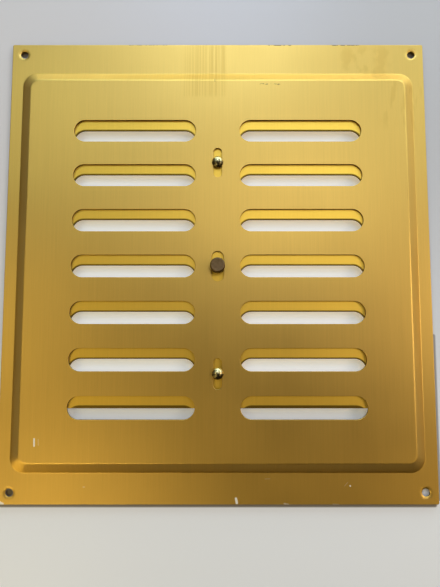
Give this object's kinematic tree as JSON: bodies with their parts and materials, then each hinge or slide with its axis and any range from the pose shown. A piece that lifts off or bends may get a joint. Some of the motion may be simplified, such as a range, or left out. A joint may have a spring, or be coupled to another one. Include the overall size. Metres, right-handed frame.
{
  "type": "hit-and-miss ventilator",
  "caption": "Gold-anodised pressed metal wall ventilator with slotted face and a sliding shutter behind it, moved by a small knob to open or close the slots.",
  "frame": {"origin": "under the middle of the face plate, on the plane of its back flange, which meets the wall", "axes": "+Z out of the face, +Y towards the top edge, along the shutter's travel, +X to the right of the face"},
  "size_m": [0.242, 0.263, 0.0105],
  "materials": {
    "face_gold": "satin brushed, gold anodised",
    "shutter_gold": "satin brushed, gold anodised",
    "knob_bronze": "dull, darkened",
    "rivet_brass": "polished",
    "washer_brass": "plain",
    "spring_steel": "plain"
  },
  "bodies": {
    "face": {"face_plate": "face_gold"},
    "shutter": {"shutter_plate": "shutter_gold", "knob": "knob_bronze", "knob_spring_washer": "spring_steel", "knob_back_washer": "washer_brass", "upper_guide_rivet": "rivet_brass", "upper_spring_washer": "spring_steel", "upper_back_washer": "washer_brass", "lower_guide_rivet": "rivet_brass", "lower_spring_washer": "spring_steel", "lower_back_washer": "washer_brass"}
  },
  "joints": [
    {"name": "shutter_slide", "type": "slide", "parent": "face", "child": "shutter", "axis": [0, 1, 0], "range_m": [-0.0068, 0.0064]}
  ]
}
